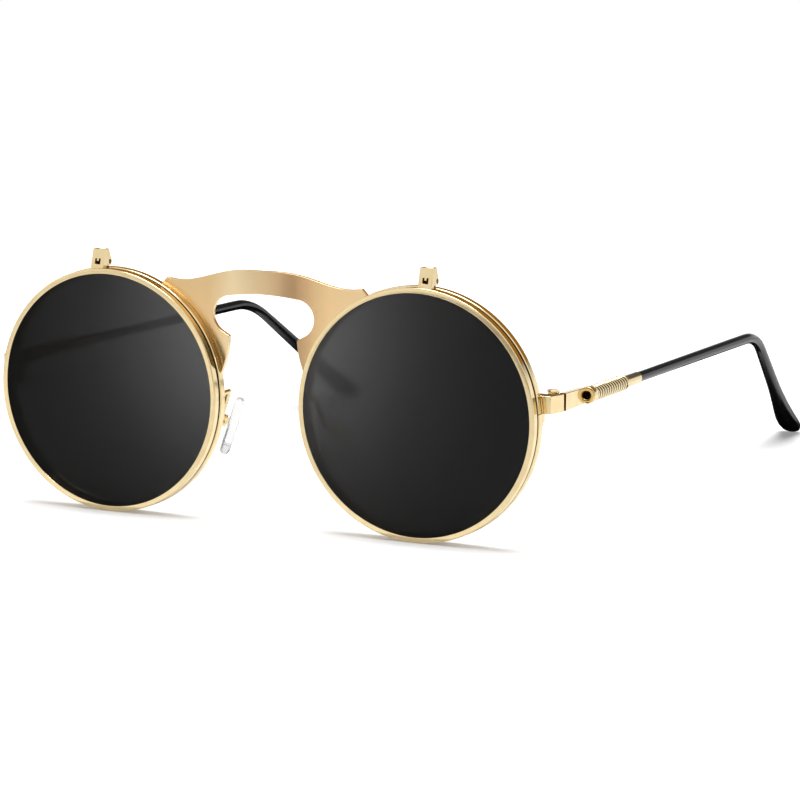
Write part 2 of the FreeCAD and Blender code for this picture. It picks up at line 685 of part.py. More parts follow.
def flip_leaf():
    """A channel of bent sheet: a leaning front with a window and a tongue, and two cheeks on the pin."""
    left = flip_hinge_x - LEAF_WIDTH / 2
    foot = pin_z - PIN_RISE - BOSS_RADIUS
    top = pin_z + LEAF_RISE

    def at(y, z):
        return Vector(left, y, z)

    front_foot = at(LEAF_SET_BACK, foot)
    front_top = at(LEAF_SET_BACK + LEAF_LEAN, top)
    back_top = front_top + BACK * LEAF_TOP
    boss_back = at(pin_y + BOSS_RADIUS, pin_z)
    boss_middle = at(pin_y + BOSS_RADIUS * math.sqrt(0.5), pin_z - BOSS_RADIUS * math.sqrt(0.5))
    boss_low = at(pin_y, pin_z - BOSS_RADIUS)
    cheek_low = at(FLIP_RIM_DEPTH, pin_z - BOSS_RADIUS)
    back_foot = at(FLIP_RIM_DEPTH, foot)
    side = [
        line(front_foot, front_top),
        line(front_top, back_top),
        line(back_top, boss_back),
        arc(boss_back, boss_middle, boss_low),
        line(boss_low, cheek_low),
        line(cheek_low, back_foot),
        line(back_foot, front_foot),
    ]
    block = Part.Face(Part.Wire(side)).extrude(RIGHT * LEAF_WIDTH)
    sheet = LEAF_WALL * math.hypot(LEAF_LEAN, top - foot) / (top - foot)
    inside = polygon([
        front_foot + BACK * sheet,
        front_top + BACK * sheet,
        at(pin_y + LEAF_RISE, top),
        at(pin_y + LEAF_RISE, foot),
    ]).extrude(RIGHT * (LEAF_WIDTH - 2 * LEAF_WALL))
    inside.translate(RIGHT * LEAF_WALL)
    sill = lens_z + flip_rim_radius + WINDOW_SILL
    head = sill + WINDOW_HEIGHT
    window = box(
        Vector(flip_hinge_x - WINDOW_WIDTH / 2, 0, sill),
        Vector(flip_hinge_x + WINDOW_WIDTH / 2, FLIP_RIM_DEPTH, head),
    )
    tongue = box(
        Vector(flip_hinge_x - TONGUE_WIDTH / 2, 0, head - TONGUE_LENGTH),
        Vector(flip_hinge_x + TONGUE_WIDTH / 2, FLIP_RIM_DEPTH, head),
    )
    rim_seat = rim_bore(flip_rim_radius + SOLDER_GAP, 0, rear_rim_back)
    return block.cut([inside, window.cut(tongue), rim_seat, flip_pin_hole(PIN_RADIUS + THREAD_FIT)])


def flip_pin_hole(radius):
    """A round bar along the flip hinge."""
    start = Vector(flip_hinge_x - LEAF_WIDTH / 2, pin_y, pin_z)
    return Part.makeCylinder(radius, LEAF_WIDTH, start, RIGHT)


def flip_pin():
    """A pin that is pressed into the leaf's cheeks and turns with them."""
    return flip_pin_hole(PIN_RADIUS)


def flip_base():
    """The knuckle between the leaf's cheeks, with its foot on top of the rear rim."""
    width = LEAF_WIDTH - 2 * LEAF_WALL - 2 * LEAF_SIDE_RUN
    left = flip_hinge_x - width / 2
    knuckle = Part.makeCylinder(BOSS_RADIUS, width, Vector(left, pin_y, pin_z), RIGHT)
    foot = box(
        Vector(left, pin_y - BOSS_RADIUS, pin_z - PIN_RISE - BOSS_RADIUS),
        Vector(left + width, pin_y + BOSS_RADIUS, pin_z),
    )
    seat = rim_bore(seat_radius, 0, 2 * rear_rim_back)
    return knuckle.fuse(foot).cut([seat, flip_pin_hole(PIN_RADIUS + PIN_RUN)]).removeSplitter()


def nose_pad():
    """A clear pad: two round ends joined by straight sides, with bevelled edges, on its stud."""
    low = Vector(pad_back, 0, -PAD_RADII_APART / 2)
    top = Vector(pad_back, 0, PAD_RADII_APART / 2)
    lean = math.asin((PAD_LOW_RADIUS - PAD_TOP_RADIUS) / PAD_RADII_APART)
    side = Vector(0, math.cos(lean), math.sin(lean))
    far_side = Vector(0, -math.cos(lean), math.sin(lean))
    outline = [
        line(low + side * PAD_LOW_RADIUS, top + side * PAD_TOP_RADIUS),
        arc(top + side * PAD_TOP_RADIUS, top + UP * PAD_TOP_RADIUS, top + far_side * PAD_TOP_RADIUS),
        line(top + far_side * PAD_TOP_RADIUS, low + far_side * PAD_LOW_RADIUS),
        arc(low + far_side * PAD_LOW_RADIUS, low - UP * PAD_LOW_RADIUS, low + side * PAD_LOW_RADIUS),
    ]
    block = Part.Face(Part.Wire(outline)).extrude(RIGHT * -PAD_THICKNESS)
    rims = [edge for edge in block.Edges if abs(edge.BoundBox.XMax - edge.BoundBox.XMin) < PAD_BOX_CLEARANCE]
    pad = block.makeChamfer(PAD_BEVEL, rims)
    socket = pad_stud_block(STUD_WIDTH + 2 * CORE_FIT, STUD_HEIGHT + 2 * CORE_FIT, STUD_ANCHOR + CORE_FIT)
    return on_pad(pad.cut(socket))


def pad_stud_block(width, height, depth):
    """The stud's flat tongue, from inside the pad to the screw, with a round end there."""
    low = Vector(pad_back - depth, -width / 2, -height / 2)
    bar = box(low, Vector(pad_axis_out, width / 2, height / 2))
    end = Part.makeCylinder(height / 2, width, Vector(pad_axis_out, -width / 2, 0), BACK)
    return bar.fuse(end).removeSplitter()


def pad_screw_hole(radius, length):
    """A round bar along the axis that the pad rocks on."""
    return Part.makeCylinder(radius, length, Vector(pad_axis_out, -length / 2, 0), BACK)


def pad_stud():
    stud = pad_stud_block(STUD_WIDTH, STUD_HEIGHT, STUD_ANCHOR)
    return on_pad(stud.cut(pad_screw_hole(PAD_SCREW_RADIUS + PAD_SCREW_RUN, PAD_BOX_WIDTH)))


def pad_screw():
    return on_pad(pad_screw_hole(PAD_SCREW_RADIUS, PAD_BOX_WIDTH))


def bent_wire(points, radius):
    """A round wire through the points, with a ball at each bend."""
    runs = []
    for start, end in zip(points, points[1:]):
        runs.append(Part.makeCylinder(radius, (end - start).Length, start, end - start))
    balls = [Part.makeSphere(radius, point) for point in points[1:-1]]
    return runs[0].fuse(runs[1:] + balls)


def pad_arm():
    """A wire from the back of the rim to a small open box that holds the pad's stud."""
    root_radius = opening_radius + RIM_WALL / 2
    root_x = lens_x - math.sqrt(root_radius**2 - ARM_RISE**2)
    root = Vector(root_x, rear_rim_back + SOLDER_GAP, lens_z + ARM_RISE)
    box_middle = Vector((pad_box_near + pad_box_far) / 2, 0, 0)
    end = pad_middle + pad_turn.multVec(box_middle - BACK * (PAD_BOX_WIDTH / 2 - ARM_RADIUS / 2))
    wire = bent_wire([root, root + BACK * ARM_REACH, pad_middle + ARM_ELBOW, end], ARM_RADIUS)
    half_width = PAD_BOX_WIDTH / 2
    half_height = PAD_BOX_HEIGHT / 2
    slot = STUD_WIDTH / 2 + STUD_RUN
    slot_far = pad_axis_out + STUD_HEIGHT / 2 + STUD_RUN
    shell_low = Vector(pad_box_near, -half_width, -half_height)
    shell_high = Vector(pad_box_far, half_width, half_height)
    shell = box(shell_low, shell_high)
    mouth = box(Vector(pad_box_near, -slot, -half_height), Vector(slot_far, slot, half_height))
    hole = pad_screw_hole(PAD_SCREW_RADIUS + THREAD_FIT, PAD_BOX_WIDTH)
    return wire.fuse(on_pad(shell)).cut([on_pad(mouth), on_pad(hole)]).removeSplitter()


pairs = {
    "rear_rim": rear_rim(),
    "rear_lens": lens(rear_rim_front, REAR_RIM_DEPTH),
    "end_piece": end_piece(),
    "closing_block": closing_block(),
    "rim_screw": rim_screw(),
    "hinge_screw": hinge_screw(),
    "pad_arm": pad_arm(),
    "pad_screw": pad_screw(),
    "flip_base": flip_base(),
    "flip_rim": rim(0, FLIP_RIM_DEPTH, flip_rim_radius),
    "flip_lens": lens(0, FLIP_RIM_DEPTH),
    "flip_leaf": flip_leaf(),
    "flip_pin": flip_pin(),
    "temple_bar": temple_bar(),
    "spring_collar": spring_collar(),
    "temple_spring": temple_spring(),
    "temple_core": temple_core(),
    "temple_ferrule": temple_ferrule(),
    "temple_tip": temple_tip(),
    "nose_pad": nose_pad(),
    "pad_stud": pad_stud(),
}
pieces = {"bridge_plate": bridge_plate()}
for name, shape in pairs.items():
    pieces[name + "_right"] = shape
    pieces[name + "_left"] = shape.mirror(Vector(), RIGHT)

# The glasses stand on the rear rims and on the temple tips, and the origin is on the table under
# the middle of their depth
heel = Vector(0, rear_rim_front, 0)
tilt = 0.0
for attempt in range(TILT_ATTEMPTS):
    tip = pairs["temple_tip"].rotated(heel, RIGHT, math.degrees(tilt))
    reach = tip.optimalBoundingBox()
    tilt += math.atan2(-reach.ZMin, reach.YMax - heel.y)
for shape in pieces.values():
    shape.rotate(heel, RIGHT, math.degrees(tilt))
front = pieces["flip_rim_right"].optimalBoundingBox().YMin
back = pieces["temple_tip_right"].optimalBoundingBox().YMax
low = pieces["temple_tip_right"].optimalBoundingBox().ZMin
stand = Vector(0, -(front + back) / 2, -low)
print("tilt", round(math.degrees(tilt), 4), "heel", heel, "stand", stand)
os.makedirs("parts", exist_ok=True)
for name, shape in pieces.items():
    shape.translate(stand)
    shape.exportStep("parts/" + name + ".step")
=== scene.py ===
import json
import math

import bmesh
import bpy
from mathutils import Matrix, Vector

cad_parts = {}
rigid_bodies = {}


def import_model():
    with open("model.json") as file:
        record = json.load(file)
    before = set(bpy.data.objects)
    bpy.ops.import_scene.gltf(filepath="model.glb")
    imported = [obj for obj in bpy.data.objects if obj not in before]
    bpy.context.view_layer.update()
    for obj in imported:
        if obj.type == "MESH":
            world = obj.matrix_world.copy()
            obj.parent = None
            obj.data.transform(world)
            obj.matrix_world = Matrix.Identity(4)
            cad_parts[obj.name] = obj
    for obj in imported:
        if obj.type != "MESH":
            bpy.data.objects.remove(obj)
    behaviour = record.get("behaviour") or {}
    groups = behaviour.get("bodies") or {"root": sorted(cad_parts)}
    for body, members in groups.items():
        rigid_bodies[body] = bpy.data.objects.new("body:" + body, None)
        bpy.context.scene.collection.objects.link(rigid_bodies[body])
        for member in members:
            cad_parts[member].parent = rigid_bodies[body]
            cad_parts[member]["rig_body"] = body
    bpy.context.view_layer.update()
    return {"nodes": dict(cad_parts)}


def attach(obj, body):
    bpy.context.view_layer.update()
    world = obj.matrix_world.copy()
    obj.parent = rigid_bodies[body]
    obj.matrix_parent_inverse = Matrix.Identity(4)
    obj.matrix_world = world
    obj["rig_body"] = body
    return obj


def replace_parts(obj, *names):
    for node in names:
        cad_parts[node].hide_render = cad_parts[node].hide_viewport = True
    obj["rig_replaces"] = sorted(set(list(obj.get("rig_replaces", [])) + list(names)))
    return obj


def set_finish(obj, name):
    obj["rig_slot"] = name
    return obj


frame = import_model()

# Rear rims: drawn metal wire of a D section with a V groove inside, rolled into a ring and sawn
# through at the temple side so that the lens goes in, then polished and plated in pale gold.
mm = 0.001
hair = 0.01 * mm  # slack for what is picked by its place
lens_x = 34.5 * mm
lens_z = 25.3 * mm
opening_radius = 24.0 * mm
groove_depth = 0.5 * mm
saw_cut = 0.15 * mm
saw_cut_z = 27.15 * mm

# The pieces are drawn level, with the lenses upright. The glasses stand on the table on the rims
# and on the temple tips, so they are tipped by a little about the heel of the rims.
heel = Vector((0, 2.3, 0)) * mm
to_centre = Vector((0, -84.488, 0)) * mm
tip_over = Matrix.Rotation(math.radians(1.8025), 4, "X")
stood = Matrix.Translation(heel + to_centre) @ tip_over @ Matrix.Translation(-heel)
upright = stood.inverted()


def linear(colour):
    """An sRGB hex colour as Blender's linear one."""
    parts = [int(colour[i : i + 2], 16) / 255 for i in (1, 3, 5)]
    return [p / 12.92 if p <= 0.04045 else ((p + 0.055) / 1.055) ** 2.4 for p in parts] + [1.0]


def node(tree, kind, inputs=None, stops=(), **settings):
    """Adds a node with its settings and links, and a ramp's stops as (place, colour) pairs."""
    made = tree.nodes.new(kind)
    for name, value in settings.items():
        setattr(made, name, value)
    for name, value in (inputs or {}).items():
        if isinstance(value, bpy.types.NodeSocket):
            tree.links.new(value, made.inputs[name])
        else:
            made.inputs[name].default_value = value
    for number, (at, colour) in enumerate(stops):
        ramp = made.color_ramp.elements
        stop = ramp[number] if number < 2 else ramp.new(at)
        stop.position = at
        stop.color = linear(colour)
    return made


def empty_material(name):
    """A new material and its tree, without nodes."""
    made = bpy.data.materials.new(name)
    made.use_nodes = True
    made.node_tree.nodes.clear()
    return made, made.node_tree


def let_go():
    """Leaves edit mode with nothing selected."""
    if bpy.context.object and bpy.context.object.mode != "OBJECT":
        bpy.ops.object.mode_set(mode="OBJECT")
    bpy.ops.object.select_all(action="DESELECT")


def pick(piece, kind, test):
    """Selects the vertices, edges or faces of a piece in edit mode whose middle passes the test."""
    bpy.ops.mesh.select_mode(type={"verts": "VERT", "edges": "EDGE", "faces": "FACE"}[kind])
    bpy.ops.mesh.select_all(action="DESELECT")
    shape = bmesh.from_edit_mesh(piece.data)
    for part in getattr(shape, kind):
        corners = [part] if kind == "verts" else part.verts
        middle = sum((v.co for v in corners), Vector()) / len(corners)
        if test(middle):
            part.select_set(True)
    shape.select_flush_mode()
    bmesh.update_edit_mesh(piece.data)


def closed_up(piece):
    """Merges doubled points and turns every face outwards."""
    bpy.ops.object.mode_set(mode="EDIT")
    bpy.ops.mesh.select_all(action="SELECT")
    bpy.ops.mesh.remove_doubles(threshold=0.0005 * mm)
    bpy.ops.mesh.normals_make_consistent(inside=False)
    bpy.ops.object.mode_set(mode="OBJECT")


def set_in_place(piece, matrix):
    """Moves a piece to its place, and leaves its origin at the world's."""
    piece.matrix_world = matrix
    bpy.ops.object.transform_apply(location=True, rotation=True, scale=True)
    return piece


def finished(piece, name, body, slot, material, *nodes):
    """Names a piece, gives it its finish and its body, and lets it stand for CAD nodes."""
    piece.name = name
    piece.data.name = name
    piece.data.materials.clear()
    piece.data.materials.append(material)
    bpy.ops.object.shade_smooth_by_angle(angle=math.radians(35))
    flats = piece.modifiers.new("flat_faces", "WEIGHTED_NORMAL")
    flats.keep_sharp = True
    bpy.ops.object.modifier_apply(modifier=flats.name)
    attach(piece, body)
    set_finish(piece, slot)
    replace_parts(piece, *nodes)
    return piece


def other_side(piece):
    """A mirrored copy of a piece for the left side, with its own mesh."""
    let_go()
    piece.select_set(True)
    bpy.context.view_layer.objects.active = piece
    bpy.ops.object.duplicate()
    copy = bpy.context.object
    copy.parent = None
    bpy.ops.mesh.customdata_custom_splitnormals_clear()
    copy.scale = (-1, 1, 1)
    bpy.ops.object.transform_apply(location=True, rotation=True, scale=True)
    closed_up(copy)
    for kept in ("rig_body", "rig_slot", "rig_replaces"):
        if kept in copy:
            del copy[kept]
    return copy


def in_pair(piece, name, body, slot, material, cad_node):
    """Finishes a piece for the right and its mirror for the left. In a name, {} is the side."""
    pair = []
    for side in ("right", "left"):
        piece = other_side(piece) if pair else piece
        names = [text.format(side) for text in (name, body, cad_node)]
        pair.append(finished(piece, names[0], names[1], slot, material, names[2]))
    return pair


def rolled_rim(front, depth, radius, lip, shoulder, split):
    """A grooved section spun round the lens, open at the saw cut where there is one."""
    let_go()
    middle = Vector((lens_x + (opening_radius + radius) / 2, front + depth / 2, lens_z))
    bpy.ops.mesh.primitive_plane_add(size=1, location=middle)
    rim = bpy.context.object
    rim.scale = (radius - opening_radius, depth, 1)
    bpy.ops.object.transform_apply(location=True, rotation=True, scale=True)
    bpy.ops.object.mode_set(mode="EDIT")
    inner = lens_x + opening_radius + hair
    pick(rim, "edges", lambda at: at.x < inner)
    bpy.ops.mesh.subdivide(number_cuts=1)
    pick(rim, "verts", lambda at: at.x < inner and abs(at.y - middle.y) < depth / 4)
    bpy.ops.transform.translate(value=(groove_depth, 0, 0))
    pick(rim, "verts", lambda at: at.x < inner)
    bpy.ops.mesh.bevel(offset=lip, segments=3, affect="VERTICES")
    pick(rim, "verts", lambda at: at.x > lens_x + radius - hair)
    bpy.ops.mesh.bevel(offset=shoulder, segments=5, affect="VERTICES")
    bpy.ops.mesh.select_all(action="SELECT")
    if not split:
        bpy.ops.mesh.delete(type="ONLY_FACE")
        bpy.ops.mesh.select_all(action="SELECT")
    turn = math.tau - split / opening_radius
    bpy.ops.mesh.spin(steps=180, angle=turn, center=(lens_x, 0, lens_z), axis=(0, 1, 0))
    bpy.ops.object.mode_set(mode="OBJECT")
    closed_up(rim)
    return rim


# Polished gold plating: a warm pale metal with a soft mirror, a little uneven where the wheel
# left it, so that its highlights are not ruled lines. The marks are drawn coarse, to show.
gold, tree = empty_material("polished_gold_plating")
place = node(tree, "ShaderNodeTexCoord")
wheel_marks = node(
    tree,
    "ShaderNodeTexNoise",
    {"Vector": place.outputs["Object"], "Scale": 1 / (2.5 * mm), "Detail": 3.0},
)
tone = node(
    tree,
    "ShaderNodeValToRGB",
    {"Fac": wheel_marks.outputs["Fac"]},
    stops=[(0.3, "#f4daa6"), (0.7, "#fbe6b6")],
)
gloss = node(
    tree,
    "ShaderNodeMapRange",
    {
        "Value": wheel_marks.outputs["Fac"],
        "From Min": 0.3,
        "From Max": 0.7,
        "To Min": 0.08,
        "To Max": 0.15,
    },
)
surface = node(
    tree,
    "ShaderNodeBsdfPrincipled",
    {
        "Base Color": tone.outputs["Color"],
        "Roughness": gloss.outputs["Result"],
        "Metallic": 1.0,
    },
)
node(tree, "ShaderNodeOutputMaterial", {"Surface": surface.outputs["BSDF"]})

# Painted shade: a dark orange-brown metal for the faces in the gaps between two pieces and in
# hollows, where shade falls. It is darker and more orange than the plating, and wavers a little at
# random.
gap_shade, tree = empty_material("dark_metal_painted_in_gaps")
place = node(tree, "ShaderNodeTexCoord")
shade_mottle = node(
    tree,
    "ShaderNodeTexNoise",
    {"Vector": place.outputs["Object"], "Scale": 1 / (1.5 * mm), "Detail": 3.0},
)
tone = node(
    tree,
    "ShaderNodeValToRGB",
    {"Fac": shade_mottle.outputs["Fac"]},
    stops=[(0.3, "#553511"), (0.7, "#70491c")],
)
surface = node(
    tree,
    "ShaderNodeBsdfPrincipled",
    {"Base Color": tone.outputs["Color"], "Roughness": 0.34, "Metallic": 1.0},
)
node(tree, "ShaderNodeOutputMaterial", {"Surface": surface.outputs["BSDF"]})


def unplated(piece, test):
    """Gives the faces that pass the test the dark metal of painted shade."""
    piece.data.materials.append(gap_shade)
    for face in piece.data.polygons:
        face.material_index = 1 if test(face) else 0


way_back = stood.to_3x3() @ Vector((0, 1, 0))
facing = 0.9  # least share of a face's normal that points to the front or the back
rear_rim = rolled_rim(
    front=2.3 * mm,
    depth=1.9 * mm,
    radius=25.3 * mm,
    lip=0.18 * mm,
    shoulder=0.32 * mm,
    split=saw_cut,
)
saw_angle = math.asin((saw_cut_z - lens_z) / opening_radius)
centre = Matrix.Translation((lens_x, 0, lens_z))
set_in_place(rear_rim, stood @ centre @ Matrix.Rotation(-saw_angle, 4, "Y") @ centre.inverted())
for rim in in_pair(
    rear_rim, "rear_rim_rolled_{}", "front", "gold_metal", gold, "rear_rim_{}"
):
    # The fronts of the rear rims, in the gap behind the flip rims, get painted shade.
    unplated(rim, lambda face: face.normal.dot(way_back) < -facing)

# Rear lenses: flat clear lenses, cut round with a V edge that snaps into the rear rim's groove.
# Their CAD solids have that shape, and get a finish here: acrylic with a hard coat against glare,
# so that the eye sees hardly more than a faint grey in them.
clear_acrylic, tree = empty_material("hard_coated_clear_acrylic")
place = node(tree, "ShaderNodeTexCoord")
coat = node(
    tree,
    "ShaderNodeTexNoise",
    {"Vector": place.outputs["Object"], "Scale": 1 / (9 * mm), "Detail": 2.0},
)
tone = node(
    tree,
    "ShaderNodeValToRGB",
    {"Fac": coat.outputs["Fac"]},
    stops=[(0, "#f0f0f0"), (1, "#f8f8f8")],
)
surface = node(
    tree,
    "ShaderNodeBsdfPrincipled",
    {
        "Base Color": tone.outputs["Color"],
        "Roughness": 0.02,
        "IOR": 1.15,
        "Transmission Weight": 1.0,
    },
)
node(tree, "ShaderNodeOutputMaterial", {"Surface": surface.outputs["BSDF"]})
for side in ("right", "left"):
    frame["nodes"]["rear_lens_" + side].material_slots[0].material = clear_acrylic

# Bridge plate: stamped from one sheet, bowed forward in the middle and soldered to the fronts of
# both rear rims by its horns and prongs. Its front is satin, its edges are rolled over.


def softened(name, width, segments=3):
    """A copy of a CAD node with its triangles merged to faces and its edges rounded by tumbling."""
    let_go()
    piece = bpy.data.objects.new(name, frame["nodes"][name].data.copy())
    bpy.context.collection.objects.link(piece)
    bpy.context.view_layer.objects.active = piece
    piece.select_set(True)
    bpy.ops.mesh.customdata_custom_splitnormals_clear()
    bpy.ops.object.mode_set(mode="EDIT")
    bpy.ops.mesh.select_all(action="SELECT")
    bpy.ops.mesh.remove_doubles(threshold=0.001 * mm)
    bpy.ops.mesh.dissolve_limited(angle_limit=math.radians(0.5))
    bpy.ops.object.mode_set(mode="OBJECT")
    edges = piece.modifiers.new("rounded_edges", "BEVEL")
    edges.width = width
    edges.segments = segments
    edges.limit_method = "ANGLE"
    edges.angle_limit = math.radians(30)
    edges.use_clamp_overlap = False
    bpy.ops.object.modifier_apply(modifier=edges.name)
    return piece


# Satin gold plating: the same metal blasted before plating, so that it glows softly and mirrors the
# room only as broad shades. Its grain is drawn coarse, to show. Along the bow its colour carries
# painted light: a painted highlight left of the middle and on the right wing, and painted shade
# right of the middle.
satin_gold, tree = empty_material("satin_gold_plating")
place = node(tree, "ShaderNodeTexCoord")
blasting = node(
    tree,
    "ShaderNodeTexNoise",
    {"Vector": place.outputs["Object"], "Scale": 1 / (0.4 * mm), "Detail": 4.0},
)
across = node(tree, "ShaderNodeSeparateXYZ", {"Vector": place.outputs["Object"]})
frayed = node(
    tree,
    "ShaderNodeMath",
    {0: blasting.outputs["Fac"], 1: 2.5 * mm, 2: across.outputs["X"]},
    operation="MULTIPLY_ADD",
)
painted_bow_light = node(
    tree,
    "ShaderNodeMapRange",
    {"Value": frayed.outputs["Value"], "From Min": -24 * mm, "From Max": 26 * mm},
)
# Painted highlight and shade along the bow, by the place across the plate.
tone = node(
    tree,
    "ShaderNodeValToRGB",
    {"Fac": painted_bow_light.outputs["Result"]},
    stops=[
        (0, "#f2ce98"),
        (0.26, "#f3cf99"),
        (0.37, "#ffe6b8"),
        (0.65, "#d4ac7e"),
        (0.8, "#ffdaa3"),
        (1, "#ffe0ac"),
    ],
)
gloss = node(
    tree,
    "ShaderNodeMapRange",
    {
        "Value": blasting.outputs["Fac"],
        "From Min": 0.3,
        "From Max": 0.7,
        "To Min": 0.20,
        "To Max": 0.26,
    },
)
surface = node(
    tree,
    "ShaderNodeBsdfPrincipled",
    {
        "Base Color": tone.outputs["Color"],
        "Roughness": gloss.outputs["Result"],
        "Metallic": 1.0,
    },
)
node(tree, "ShaderNodeOutputMaterial", {"Surface": surface.outputs["BSDF"]})
plate = softened("bridge_plate", 0.14 * mm)
finished(plate, "bridge_plate_stamped", "front", "gold_metal", satin_gold, "bridge_plate")

# Pad arms and nose pads: each arm is a bent wire soldered behind the rim with a small box at its
# end. The pad is moulded clear silicone on a metal stud, held in the box by a cross screw.
# Clear silicone: it lets light through a little milky, and the mould leaves its gloss uneven.
silicone, tree = empty_material("moulded_clear_silicone")
place = node(tree, "ShaderNodeTexCoord")
mould = node(
    tree,
    "ShaderNodeTexNoise",
    {"Vector": place.outputs["Object"], "Scale": 1 / (1.2 * mm), "Detail": 2.0},
)
tone = node(
    tree,
    "ShaderNodeValToRGB",
    {"Fac": mould.outputs["Fac"]},
    stops=[(0, "#f4f6f6"), (1, "#fcfdfd")],
)
gloss = node(
    tree,
    "ShaderNodeMapRange",
    {"Value": mould.outputs["Fac"], "To Min": 0.06, "To Max": 0.16},
)
surface = node(
    tree,
    "ShaderNodeBsdfPrincipled",
    {
        "Base Color": tone.outputs["Color"],
        "Roughness": gloss.outputs["Result"],
        "IOR": 1.41,
        "Transmission Weight": 0.85,
    },
)
node(tree, "ShaderNodeOutputMaterial", {"Surface": surface.outputs["BSDF"]})


def tumbled(cad_node, way, side, body, edge, material=gold):
    """A softened metal CAD node of one side, named for the way it was made."""
    piece = softened(cad_node + "_" + side, edge)
    name = "_".join((cad_node, way, side))
    return finished(piece, name, body, "gold_metal", material, cad_node + "_" + side)


for side in ("right", "left"):
    tumbled("pad_arm", "bent", side, "front", 0.06 * mm)
    tumbled("pad_screw", "turned", side, "front", 0.04 * mm)
    tumbled("pad_stud", "cast", side, "pad_" + side, 0.06 * mm)
    pad = softened("nose_pad_" + side, 0.3 * mm, segments=5)
    name = "nose_pad_moulded_" + side
    finished(pad, name, "pad_" + side, "clear_pad", silicone, "nose_pad_" + side)

# End pieces: bent bars soldered to the rear rims, with two knuckles for the temple and the upper
# half of the rim lock behind. The closing block below is drawn up by the rim screw.
end_piece_back = 7.2 * mm
for side in ("right", "left"):
    end_piece = tumbled("end_piece", "bent", side, "front", 0.12 * mm)
    # The back of each end piece gets painted shade.
    unplated(end_piece, lambda face: (upright @ face.center).y > end_piece_back)
    tumbled("closing_block", "milled", side, "front", 0.12 * mm)
    tumbled("rim_screw", "turned", side, "front", 0.06 * mm)
    tumbled("hinge_screw", "turned", side, "front", 0.09 * mm)

# Flip hinges: a knuckle soldered on top of each rear rim, and a bent leaf with a window and a
# spring tongue that carries the flip rim. A pin through both has a small riveted head each side.
for side in ("right", "left"):
    # The knuckle on the rim and the pin are drawn whole in the dark metal of painted shade.
    tumbled("flip_base", "milled", side, "front", 0.08 * mm, gap_shade)
    tumbled("flip_leaf", "bent", side, "flip_" + side, 0.07 * mm)
    tumbled("flip_pin", "turned", side, "flip_" + side, 0.05 * mm, gap_shade)

# Flip rims: lighter rings of the same grooved wire in front of the rear rims, closed by solder.
# Their backs, in the gap to the rear rims, get painted shade in a dark orange-brown.
flip_rim = rolled_rim(
    front=0,
    depth=1.7 * mm,
    radius=25.18 * mm,
    lip=0.24 * mm,
    shoulder=0.22 * mm,
    split=0,
)
set_in_place(flip_rim, stood)
for rim in in_pair(
    flip_rim, "flip_rim_rolled_{}", "flip_{}", "gold_metal", gold, "flip_rim_{}"
):
    unplated(rim, lambda face: face.normal.dot(way_back) > facing)

# Flip lenses: flat lenses of acrylic in the flip rims, dipped grey so that the tint is lightest by
# the nose. Their CAD solids have the shape, and get the tint here. It is dense and a little cloudy,
# so that the eye sees only faint shapes behind, and the coat against glare leaves no mirror.
tinted_acrylic, tree = empty_material("grey_dip_tinted_acrylic")
lightest = Vector((0, -84.95, 39.93)) * mm
place = node(tree, "ShaderNodeTexCoord")
from_nose = node(
    tree,
    "ShaderNodeVectorMath",
    {0: place.outputs["Object"], 1: lightest},
    operation="DISTANCE",
)
dip = node(
    tree,
    "ShaderNodeMapRange",
    {"Value": from_nose.outputs["Value"], "From Min": 12 * mm, "From Max": 56 * mm},
)
tone = node(
    tree,
    "ShaderNodeValToRGB",
    {"Fac": dip.outputs["Result"]},
    stops=[(0, "#787878"), (0.3, "#565656"), (0.6, "#393939"), (1, "#2c2c2c")],
)
tone.color_ramp.interpolation = "B_SPLINE"
surface = node(
    tree,
    "ShaderNodeBsdfPrincipled",
    {
        "Base Color": tone.outputs["Color"],
        "Roughness": 0.28,
        "IOR": 1.02,
        "Transmission Weight": 0.45,
    },
)
node(tree, "ShaderNodeOutputMaterial", {"Surface": surface.outputs["BSDF"]})
for side in ("right", "left"):
    frame["nodes"]["flip_lens_" + side].material_slots[0].material = tinted_acrylic

# Temple bars: short flat bars that turn on the hinge screws and end in the spring collars. Their
# middle knuckles, between those of the end pieces, get painted shade in a dark orange-brown.
knuckle_back = 8.32 * mm
for side in ("right", "left"):
    bar = tumbled("temple_bar", "forged", side, "temple_" + side, 0.15 * mm)
    unplated(bar, lambda face: (upright @ face.center).y < knuckle_back)

# Spring collars: turned cups, brazed to the temple bars, that the coil springs start from. Pieces
# of the temple are drawn along Y, and are then laid along the right temple's own axis.
temple_start = Vector((63.3926, 18.25, 28.6556)) * mm
temple_way = Vector((0.02268, 0.99944, -0.02443)).normalized()
drop_way = Vector((-0.08835, 0.84063, -0.53435)).normalized()
temple_out = drop_way.cross(temple_way).normalized()
temple_up = temple_out.cross(temple_way)
along_temple = Matrix((temple_out, temple_way, temple_up)).transposed().to_4x4()
along_temple.translation = temple_start
on_temple = stood @ along_temple
collar_length = 2.0 * mm
collar_radius = 1.7 * mm
mouth_radius = 0.85 * mm
mouth_depth = 1.3 * mm
mouth_end_radius = 0.75 * mm
seat_radius = 0.7 * mm


